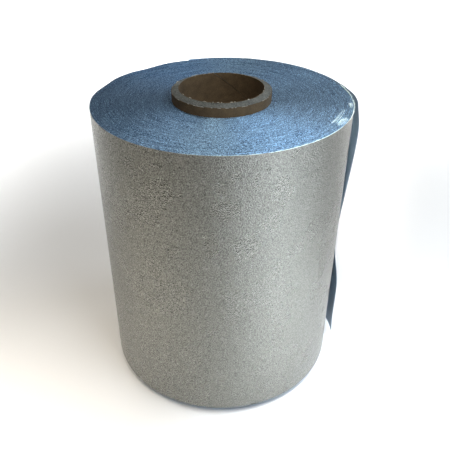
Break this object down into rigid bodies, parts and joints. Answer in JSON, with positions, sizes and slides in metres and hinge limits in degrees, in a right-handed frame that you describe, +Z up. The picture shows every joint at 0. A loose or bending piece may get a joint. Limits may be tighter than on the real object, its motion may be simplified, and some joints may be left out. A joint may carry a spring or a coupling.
{
  "type": "foil tape roll",
  "caption": "Wide upright roll of silver-coloured foil tape with a blue release liner, wound on a brown paper core, its loose outer end standing away from the roll.",
  "frame": {"origin": "centre of the paper core's lower end, on the roll's axis", "axes": "+Z up along the core's bore; -Y is the front, +X the side where the loose end stands away"},
  "size_m": [0.2421, 0.2348, 0.3],
  "materials": {
    "tinned_foil": "tin-plated copper foil, matte silver with a fine orange-peel grain",
    "adhesive": "clear acrylic adhesive coat",
    "release_liner": "blue silicone-coated film",
    "wound_edge": "packed cut edges of the wound tape, blue with a metallic sparkle",
    "kraft_facing": "brown kraft paper, matte",
    "core_board": "grey-brown core board, matte",
    "start_tape": "double-sided tissue tape"
  },
  "bodies": {
    "roll": {"core_inner_facing": "kraft_facing", "core_board_ply_01": "core_board", "core_board_ply_02": "core_board", "core_board_ply_03": "core_board", "core_board_ply_04": "core_board", "core_board_ply_05": "core_board", "core_board_ply_06": "core_board", "core_board_ply_07": "core_board", "core_board_ply_08": "core_board", "core_board_ply_09": "core_board", "core_board_ply_10": "core_board", "core_outer_facing": "kraft_facing", "start_tape": "start_tape", "wound_turns": "wound_edge", "outer_turn_foil": "tinned_foil", "outer_turn_adhesive": "adhesive", "outer_turn_liner": "release_liner"},
    "tail_root": {"tail_root_foil": "tinned_foil", "tail_root_adhesive": "adhesive", "tail_root_liner": "release_liner"},
    "tail_middle": {"tail_middle_foil": "tinned_foil", "tail_middle_adhesive": "adhesive", "tail_middle_liner": "release_liner"},
    "tail_end": {"tail_end_foil": "tinned_foil", "tail_end_adhesive": "adhesive", "tail_end_liner": "release_liner"}
  },
  "joints": [
    {"name": "tail_lift", "type": "hinge", "parent": "roll", "child": "tail_root", "pos_m": [-0.01635, 0.11636, 0.15], "axis": [0, 0, 1], "range_deg": [0, 40]},
    {"name": "tail_uncurl", "type": "hinge", "parent": "tail_root", "child": "tail_middle", "pos_m": [0.05429, 0.10548, 0.15], "axis": [0, 0, 1], "range_deg": [0, 32]},
    {"name": "tail_end_uncurl", "type": "hinge", "parent": "tail_middle", "child": "tail_end", "pos_m": [0.10719, 0.05743, 0.15], "axis": [0, 0, 1], "range_deg": [0, 32]}
  ],
  "couplings": [
    {"joint": "tail_end_uncurl", "follows": "tail_uncurl", "ratio": 1}
  ]
}
